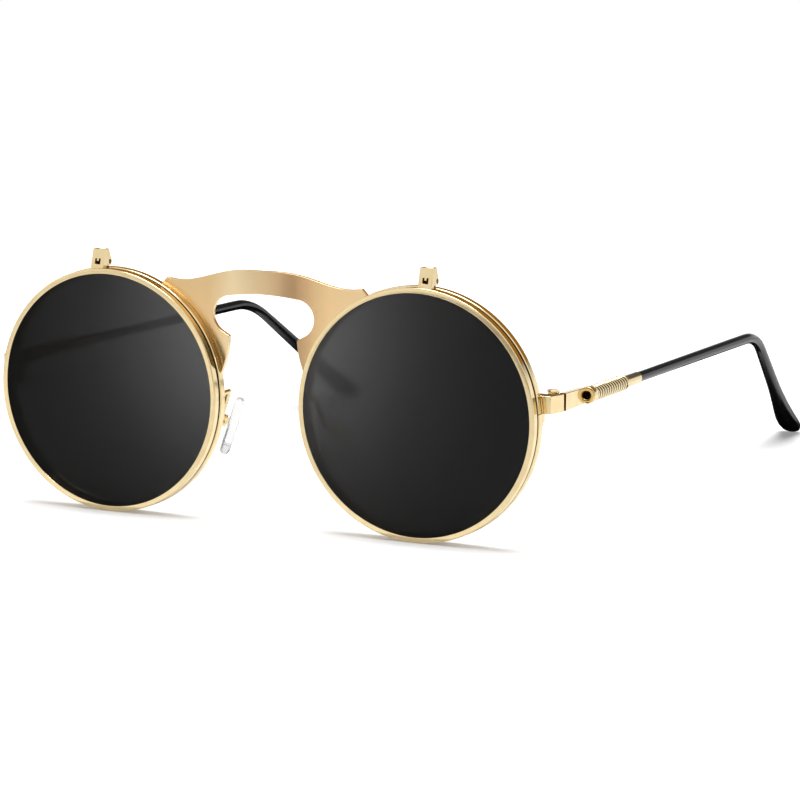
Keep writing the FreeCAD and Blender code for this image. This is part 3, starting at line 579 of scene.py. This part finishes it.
def turned(outline, edge, sides=48):
    """A piece turned along Y: a disc extruded and resized from one (place, radius) to the next."""
    let_go()
    place, radius = outline[0]
    bpy.ops.mesh.primitive_circle_add(
        vertices=sides,
        radius=radius,
        fill_type="NGON",
        location=(0, place, 0),
        rotation=(math.pi / 2, 0, 0),
    )
    piece = bpy.context.object
    bpy.ops.object.transform_apply(location=True, rotation=True, scale=True)
    bpy.ops.object.mode_set(mode="EDIT")
    bpy.ops.mesh.select_all(action="SELECT")
    for next_place, next_radius in outline[1:]:
        step = (0, next_place - place, 0)
        growth = next_radius / radius
        bpy.ops.mesh.extrude_region_move(TRANSFORM_OT_translate={"value": step})
        bpy.ops.transform.resize(value=(growth, 1, growth), center_override=(0, next_place, 0))
        place, radius = next_place, next_radius
    bpy.ops.object.mode_set(mode="OBJECT")
    closed_up(piece)
    edges = piece.modifiers.new("broken_edges", "BEVEL")
    edges.width = edge
    edges.segments = 3
    edges.limit_method = "ANGLE"
    edges.angle_limit = math.radians(40)
    bpy.ops.object.modifier_apply(modifier=edges.name)
    return piece


def in_mouth(face):
    """Whether a face of either collar is inside its mouth or on the floor of it."""
    middle = face.center
    local = on_temple.inverted() @ Vector((abs(middle.x), middle.y, middle.z))
    inside = math.hypot(local.x, local.z) < mouth_radius - hair
    return inside and local.y < mouth_depth + hair


collar = turned(
    [
        (collar_length, seat_radius),
        (collar_length, collar_radius),
        (0, collar_radius),
        (0, mouth_radius),
        (mouth_depth, mouth_end_radius),
    ],
    edge=0.12 * mm,
)
set_in_place(collar, on_temple)
for cup in in_pair(
    collar, "spring_collar_turned_{}", "temple_{}", "gold_metal", gold, "spring_collar_{}"
):
    # The inside and the floor of each mouth get painted shade.
    unplated(cup, in_mouth)

# Coil springs: close wound round wire between collar and ferrule, which lets the temple flex,
# with a straight core wire inside that runs on into the sleeve.
wire_radius = 0.38 * mm
pitch = 1.22 * mm
turns = 14
spring_radius = 1.6 * mm
spring_start = 1.7 * mm
let_go()
bpy.ops.mesh.primitive_circle_add(
    vertices=12, radius=wire_radius, location=(spring_radius - wire_radius, spring_start, 0)
)
spring = bpy.context.object
bpy.ops.object.transform_apply(location=True, rotation=True, scale=True)
winding = spring.modifiers.new("winding", "SCREW")
winding.axis = "Y"
winding.angle = math.tau
winding.screw_offset = pitch
winding.iterations = turns
winding.steps = 36
winding.render_steps = 36
bpy.ops.object.modifier_apply(modifier=winding.name)
bpy.ops.object.mode_set(mode="EDIT")
bpy.ops.mesh.select_all(action="SELECT")
bpy.ops.mesh.fill_holes(sides=0)
bpy.ops.object.mode_set(mode="OBJECT")
closed_up(spring)
set_in_place(spring, on_temple)

# Plated spring wire with painted light: a painted highlight on the crests of the coils and painted
# shade in the grooves between them, by the distance from the temple's axis. That axis is found from
# the object's own coordinates.
spring_painted_light, tree = empty_material("gold_spring_wire_painted_light")
place = node(tree, "ShaderNodeTexCoord")
parts = node(tree, "ShaderNodeSeparateXYZ", {"Vector": place.outputs["Object"]})
outward = node(tree, "ShaderNodeMath", {0: parts.outputs["X"]}, operation="ABSOLUTE")
one_side = node(
    tree,
    "ShaderNodeCombineXYZ",
    {"X": outward.outputs["Value"], "Y": parts.outputs["Y"], "Z": parts.outputs["Z"]},
)
axis = node(
    tree,
    "ShaderNodeMapping",
    {
        "Vector": one_side.outputs["Vector"],
        "Location": on_temple.to_translation(),
        "Rotation": on_temple.to_euler(),
    },
    vector_type="TEXTURE",
)
flattened = node(
    tree,
    "ShaderNodeVectorMath",
    {0: axis.outputs["Vector"], 1: (1, 0, 1)},
    operation="MULTIPLY",
)
from_axis = node(
    tree, "ShaderNodeVectorMath", {0: flattened.outputs["Vector"]}, operation="LENGTH"
)
crest = node(
    tree,
    "ShaderNodeMapRange",
    {"Value": from_axis.outputs["Value"], "From Min": 1.34 * mm, "From Max": 1.56 * mm},
)
tone = node(
    tree,
    "ShaderNodeValToRGB",
    {"Fac": crest.outputs["Result"]},
    stops=[(0, "#3a2c18"), (1, "#fdeabf")],
)
surface = node(
    tree,
    "ShaderNodeBsdfPrincipled",
    {"Base Color": tone.outputs["Color"], "Roughness": 0.14, "Metallic": 1.0},
)
node(tree, "ShaderNodeOutputMaterial", {"Surface": surface.outputs["BSDF"]})
in_pair(
    spring,
    "temple_spring_wound_{}",
    "temple_{}",
    "gold_metal",
    spring_painted_light,
    "temple_spring_{}",
)

# Blued steel: the drawn wire inside the spring, dark so that the coils stand out before it.
steel, tree = empty_material("blued_steel_wire")
place = node(tree, "ShaderNodeTexCoord")
drawing = node(
    tree,
    "ShaderNodeTexNoise",
    {"Vector": place.outputs["Object"], "Scale": 1 / (0.8 * mm)},
)
tone = node(
    tree,
    "ShaderNodeValToRGB",
    {"Fac": drawing.outputs["Fac"]},
    stops=[(0, "#2b2620"), (1, "#3d362c")],
)
surface = node(
    tree,
    "ShaderNodeBsdfPrincipled",
    {"Base Color": tone.outputs["Color"], "Roughness": 0.4, "Metallic": 1.0},
)
node(tree, "ShaderNodeOutputMaterial", {"Surface": surface.outputs["BSDF"]})
for side in ("right", "left"):
    tumbled("temple_core", "drawn", side, "temple_" + side, 0.05 * mm, steel)

# Ferrules: turned sleeves with a flange that the spring bears on, plain from there to the black
# sleeve, which is pushed up against them.
ferrule_start = 18.85 * mm
ferrule_end = 27.15 * mm
flange_radius = 1.55 * mm
ferrule_radius = 1.26 * mm
ferrule = turned(
    [
        (ferrule_start, flange_radius),
        (ferrule_start + 0.7 * mm, flange_radius),
        (ferrule_start + 0.9 * mm, ferrule_radius),
        (ferrule_end, ferrule_radius),
    ],
    edge=0.1 * mm,
)
set_in_place(ferrule, on_temple)
in_pair(
    ferrule,
    "temple_ferrule_turned_{}",
    "temple_{}",
    "gold_metal",
    gold,
    "temple_ferrule_{}",
)

# Black sleeves: moulded acetate pushed over the core wire, round as far as the ear bend, then
# flattened and flared into a paddle with soft facets. Bent warm over the ear.
sleeve_radius = 1.2 * mm
cage = 1 / 0.9024  # subdivision draws an eight-sided cage in by this much
cage_flat = cage * sleeve_radius * math.cos(math.pi / 8)
corner_at = 103.8 * mm  # where the straight lines before and after the bend would meet
bend_radius = 28.0 * mm
bend_turn = temple_way.angle(drop_way)
bend_start = corner_at - bend_radius * math.tan(bend_turn / 2)
bend_end = Vector(
    (
        0,
        bend_start + bend_radius * math.sin(bend_turn),
        -bend_radius * (1 - math.cos(bend_turn)),
    )
)
drop_rings = [  # reach from the bend, half width, half thickness and lift, in mm
    (10.0, 1.28, 1.34, -0.1),
    (20.0, 1.4, 1.44, -0.2),
    (27.0, 1.6, 1.5, -0.25),
    (33.0, 1.95, 1.55, -0.2),
    (38.5, 2.4, 1.6, -0.1),
    (43.5, 2.8, 1.6, 0.15),
    (47.2, 2.8, 1.55, 0.35),
    (48.9, 2.5, 1.35, 0.25),
    (49.4, 1.6, 0.9, 0.2),
]
facets_from = 26 * mm
facets_to = 48.6 * mm
straight_rings = [  # place along the temple and radius, in mm, from the bend to the ferrule
    (75.0, 1.15),
    (50.0, 1.1),
    (29.0, 1.06),
    (27.5, 1.06),
    (27.17, 1.02),
]
let_go()
bpy.ops.mesh.primitive_circle_add(
    vertices=8,
    radius=cage * sleeve_radius,
    fill_type="NGON",
    rotation=(math.pi / 2, math.pi / 8, 0),
)
sleeve = bpy.context.object
bpy.ops.object.transform_apply(location=True, rotation=True, scale=True)
bpy.ops.object.mode_set(mode="EDIT")
bpy.ops.mesh.select_all(action="SELECT")


def next_ring(reach, width, thickness, lift=0):
    """Extrudes the picked end of the sleeve to a ring with this half width and half thickness."""
    picked = [v.co for v in bmesh.from_edit_mesh(sleeve.data).verts if v.select]
    middle = (max(co.z for co in picked) + min(co.z for co in picked)) / 2
    now_wide = max(co.x for co in picked)
    now_thick = max(co.z for co in picked) - middle
    step = (0, reach - picked[0].y, lift - middle)
    bpy.ops.mesh.extrude_region_move(TRANSFORM_OT_translate={"value": step})
    wider = width / sleeve_radius * cage_flat / now_wide
    thicker = thickness / sleeve_radius * cage_flat / now_thick
    bpy.ops.transform.resize(value=(wider, 1, thicker), center_override=(0, reach, lift))


for reach, width, thickness, lift in drop_rings:
    next_ring(reach * mm, width * mm, thickness * mm, lift * mm)
pick(sleeve, "edges", lambda at: facets_from < at.y < facets_to)
bpy.ops.transform.edge_crease(value=0.4)
bpy.ops.object.mode_set(mode="OBJECT")
set_in_place(sleeve, Matrix.Translation(bend_end) @ Matrix.Rotation(-bend_turn, 4, "X"))
bpy.ops.object.mode_set(mode="EDIT")
pick(sleeve, "faces", lambda at: (at - bend_end).length < hair)
bpy.ops.mesh.spin(
    steps=8, angle=-bend_turn, center=(0, bend_start, -bend_radius), axis=(1, 0, 0)
)
for reach, radius in straight_rings:
    next_ring(reach * mm, radius * mm, radius * mm)
bpy.ops.object.mode_set(mode="OBJECT")
closed_up(sleeve)
smooth = sleeve.modifiers.new("moulded", "SUBSURF")
smooth.levels = 3
smooth.render_levels = 3
bpy.ops.object.modifier_apply(modifier=smooth.name)
set_in_place(sleeve, on_temple)

# Black acetate: polished to a deep gloss along the sleeve and left satin on the paddle, with
# faint flow marks from the mould.
acetate, tree = empty_material("moulded_black_acetate")
place = node(tree, "ShaderNodeTexCoord")
flow = node(
    tree,
    "ShaderNodeTexNoise",
    {"Vector": place.outputs["Object"], "Scale": 1 / (3 * mm), "Detail": 3.0},
)
tone = node(
    tree,
    "ShaderNodeValToRGB",
    {"Fac": flow.outputs["Fac"]},
    stops=[(0, "#08080a"), (1, "#161617")],
)
back = node(tree, "ShaderNodeSeparateXYZ", {"Vector": place.outputs["Object"]})
polish = node(
    tree,
    "ShaderNodeMapRange",
    {
        "Value": back.outputs["Y"],
        "From Min": 38 * mm,
        "From Max": 52 * mm,
        "To Min": 0.08,
        "To Max": 0.26,
    },
)
gloss = node(
    tree,
    "ShaderNodeMath",
    {0: flow.outputs["Fac"], 1: 0.08, 2: polish.outputs["Result"]},
    operation="MULTIPLY_ADD",
)
surface = node(
    tree,
    "ShaderNodeBsdfPrincipled",
    {"Base Color": tone.outputs["Color"], "Roughness": gloss.outputs["Value"], "IOR": 1.36},
)
node(tree, "ShaderNodeOutputMaterial", {"Surface": surface.outputs["BSDF"]})
in_pair(
    sleeve,
    "temple_tip_moulded_{}",
    "temple_{}",
    "black_sleeve",
    acetate,
    "temple_tip_{}",
)

# Studio: a white table in a white room, with one soft lamp overhead, and black, grey, white and
# brown cards around that only the shine shows. The camera stands where the photo was taken from.
let_go()
bpy.ops.mesh.primitive_plane_add(size=8, location=(0, 0, 0))
table = bpy.context.object
table.name = "table"

# Matt white table: to the camera it is lifted to white, least near the rims and the tips, so that
# their shadows stay. What the shine and the lenses show of it is lifted on its own.
white, tree = empty_material("matt_white_table")
place = node(tree, "ShaderNodeTexCoord")
grain = node(
    tree,
    "ShaderNodeTexNoise",
    {"Vector": place.outputs["Object"], "Scale": 1 / (40 * mm)},
)
tone = node(
    tree,
    "ShaderNodeValToRGB",
    {"Fac": grain.outputs["Fac"]},
    stops=[(0, "#eeeeee"), (1, "#f2f2f2")],
)
matt = node(tree, "ShaderNodeBsdfDiffuse", {"Color": tone.outputs["Color"]})
ray = node(tree, "ShaderNodeLightPath")
parts = node(tree, "ShaderNodeSeparateXYZ", {"Vector": place.outputs["Object"]})
far_side = node(
    tree,
    "ShaderNodeMapRange",
    {
        "Value": parts.outputs["Y"],
        "From Min": -94 * mm,
        "From Max": -54 * mm,
        "To Min": 0.0,
        "To Max": 0.25,
    },
)
mirrored = node(
    tree,
    "ShaderNodeMath",
    {0: ray.outputs["Is Glossy Ray"], 1: far_side.outputs["Result"]},
    operation="MULTIPLY",
)
away = node(tree, "ShaderNodeVectorMath", {0: place.outputs["Object"]}, operation="LENGTH")
haze = node(
    tree,
    "ShaderNodeMapRange",
    {
        "Value": away.outputs["Value"],
        "From Min": 110 * mm,
        "From Max": 500 * mm,
        "To Min": 0.2,
        "To Max": 1.0,
    },
)
outward = node(tree, "ShaderNodeMath", {0: parts.outputs["X"]}, operation="ABSOLUTE")
one_side = node(
    tree, "ShaderNodeCombineXYZ", {"X": outward.outputs["Value"], "Y": parts.outputs["Y"]}
)
from_shadows = []  # from the middle of the oval under a rim or a tip, counted in its half sizes
for x, y, half_width, half_length in [(34.5, -83.2, 12.5, 3.2), (62, 72, 4, 16)]:
    oval = node(
        tree,
        "ShaderNodeMapping",
        {
            "Vector": one_side.outputs["Vector"],
            "Location": (x * mm, y * mm, 0),
            "Scale": (half_width * mm, half_length * mm, 1),
        },
        vector_type="TEXTURE",
    )
    reach = node(tree, "ShaderNodeVectorMath", {0: oval.outputs["Vector"]}, operation="LENGTH")
    from_shadows.append(reach.outputs["Value"])
nearest = node(
    tree, "ShaderNodeMath", {0: from_shadows[0], 1: from_shadows[1]}, operation="MINIMUM"
)
faded = node(
    tree,
    "ShaderNodeMapRange",
    {
        "Value": nearest.outputs["Value"],
        "From Min": 0.5,
        "From Max": 2.0,
        "To Min": 0.2,
        "To Max": 0.5,
    },
)
whitened = node(
    tree,
    "ShaderNodeMath",
    {0: haze.outputs["Result"], 1: faded.outputs["Result"]},
    operation="MAXIMUM",
)
through = node(
    tree,
    "ShaderNodeMath",
    {
        0: ray.outputs["Is Transmission Ray"],
        1: haze.outputs["Result"],
        2: mirrored.outputs["Value"],
    },
    operation="MULTIPLY_ADD",
)
lift = node(
    tree,
    "ShaderNodeMath",
    {
        0: ray.outputs["Is Camera Ray"],
        1: whitened.outputs["Value"],
        2: through.outputs["Value"],
    },
    operation="MULTIPLY_ADD",
)
glow = node(tree, "ShaderNodeEmission", {"Strength": lift.outputs["Value"]})
both = node(tree, "ShaderNodeAddShader", {0: matt.outputs["BSDF"], 1: glow.outputs["Emission"]})
node(tree, "ShaderNodeOutputMaterial", {"Surface": both.outputs["Shader"]})
table.data.materials.append(white)


def card_material(name, dark, light, lit=False):
    """Uneven felt or paper for a card, matt or lit from behind."""
    made, tree = empty_material(name)
    place = node(tree, "ShaderNodeTexCoord")
    nap = node(
        tree,
        "ShaderNodeTexNoise",
        {"Vector": place.outputs["Object"], "Scale": 1 / (3 * mm)},
    )
    tone = node(
        tree,
        "ShaderNodeValToRGB",
        {"Fac": nap.outputs["Fac"]},
        stops=[(0, dark), (1, light)],
    )
    kind = "ShaderNodeEmission" if lit else "ShaderNodeBsdfDiffuse"
    face = node(tree, kind, {"Color": tone.outputs["Color"]})
    node(tree, "ShaderNodeOutputMaterial", {"Surface": face.outputs[0]})
    return made


def mirrored_card(name, place, turn, size, material):
    """A card that only the shine of the object shows."""
    let_go()
    bpy.ops.mesh.primitive_plane_add(size=1, location=place, rotation=turn)
    card = bpy.context.object
    card.name = name
    card.scale = (size[0], size[1], 1)
    bpy.ops.object.transform_apply(location=False, rotation=False, scale=True)
    card.visible_camera = False
    card.visible_diffuse = False
    card.visible_transmission = False
    card.visible_shadow = False
    card.data.materials.append(material)


# Black felt, grey and white paper lie on the table, and brown paper stands over the temples, where
# only the rims show it.
felt = card_material("black_felt", "#050505", "#0c0c0c")
grey = card_material("grey_card", "#a2a2a2", "#a8a8a8")
lit_white = card_material("lit_white_card", "#fcfcfc", "#ffffff", lit=True)
lit_brown = card_material("lit_brown_card", "#90692b", "#98702d", lit=True)
for name, x, y, width, length, material in [
    ("black_card_under_tips", -13, 100, 163, 80, felt),
    ("grey_card_in_front", 0, -316, 120, 155, grey),
    ("white_card_0", -260, -315, 100, 330, lit_white),
    ("white_card_1", -97, -315, 65, 330, lit_white),
    ("white_card_2", -10, -103, 160, 30, lit_white),
]:
    over_table = Vector((x, y, 0.4)) * mm
    mirrored_card(name, over_table, (0, 0, 0), (width * mm, length * mm), material)
standing = (math.pi / 2, 0, 0)
over_temples = Vector((0, 10, 142)) * mm
mirrored_card(
    "brown_card_over_temples", over_temples, standing, (360 * mm, 160 * mm), lit_brown
)

# White room: white to the camera and through the lenses, a weak light on matt things. To the
# shine its walls are a little grey in front, and a dark curtain hangs high at the back.
room = bpy.data.worlds.new("white_room")
bpy.context.scene.world = room
room.use_nodes = True
tree = room.node_tree
tree.nodes.clear()
place = node(tree, "ShaderNodeTexCoord")
way = node(tree, "ShaderNodeSeparateXYZ", {"Vector": place.outputs["Generated"]})
ray = node(tree, "ShaderNodeLightPath")
walls = node(
    tree,
    "ShaderNodeMapRange",
    {
        "Value": way.outputs["Y"],
        "From Min": -0.8,
        "From Max": 0.5,
        "To Min": 0.85,
        "To Max": 1.0,
    },
)
behind = node(
    tree,
    "ShaderNodeMapRange",
    {"Value": way.outputs["Y"], "From Min": 0.55, "From Max": 0.75},
)
high = node(
    tree,
    "ShaderNodeMapRange",
    {"Value": way.outputs["Z"], "From Min": 0.12, "From Max": 0.28, "To Max": -0.9},
)
curtain = node(
    tree,
    "ShaderNodeMath",
    {0: behind.outputs["Result"], 1: high.outputs["Result"], 2: 1.0},
    operation="MULTIPLY_ADD",
)
curtained = node(
    tree,
    "ShaderNodeMath",
    {0: walls.outputs["Result"], 1: curtain.outputs["Value"]},
    operation="MULTIPLY",
)
mirrored = node(
    tree,
    "ShaderNodeBackground",
    {"Color": linear("#ffffff"), "Strength": curtained.outputs["Value"]},
)
plain = node(tree, "ShaderNodeBackground", {"Color": linear("#ffffff"), "Strength": 0.25})
clear = node(tree, "ShaderNodeBackground", {"Color": linear("#ffffff"), "Strength": 1.0})
seen = node(
    tree,
    "ShaderNodeMath",
    {0: ray.outputs["Is Camera Ray"], 1: ray.outputs["Is Transmission Ray"]},
    operation="MAXIMUM",
)
lit = node(
    tree,
    "ShaderNodeMixShader",
    {
        0: ray.outputs["Is Glossy Ray"],
        1: plain.outputs["Background"],
        2: mirrored.outputs["Background"],
    },
)
shown = node(
    tree,
    "ShaderNodeMixShader",
    {
        0: seen.outputs["Value"],
        1: lit.outputs["Shader"],
        2: clear.outputs["Background"],
    },
)
node(tree, "ShaderNodeOutputWorld", {"Surface": shown.outputs["Shader"]})

let_go()
bpy.ops.object.light_add(type="AREA", location=(0, -0.05, 0.9))
softbox = bpy.context.object
softbox.name = "softbox"
softbox.data.shape = "DISK"
softbox.data.size = 0.65
softbox.data.energy = 7.0

# Camera: where the photo was taken from, in the level frame of the lenses. A black cloth hangs
# behind it, which darkens what the rims and the bars mirror there.
camera = bpy.data.objects.new("camera", bpy.data.cameras.new("camera"))
bpy.context.collection.objects.link(camera)
spot = Vector((242.08, -458.99, 119.10)) * mm
aim = Vector((31.55, 0, 28.33)) * mm
camera.matrix_world = stood @ Matrix.LocRotScale(
    spot, (aim - spot).to_track_quat("-Z", "Y"), None
)
cloth_way = stood.to_3x3() @ (spot - aim).normalized()
cloth_turn = cloth_way.to_track_quat("Z", "Y").to_euler()
cloth_spot = stood @ aim + cloth_way * 600 * mm
cloth_size = (340 * mm, 300 * mm)
mirrored_card("black_cloth_behind_camera", cloth_spot, cloth_turn, cloth_size, felt)
camera.data.sensor_width = 36
camera.data.lens = 118.77
camera.data.clip_start = 0.01
bpy.context.scene.camera = camera
bpy.context.scene.view_settings.view_transform = "Standard"
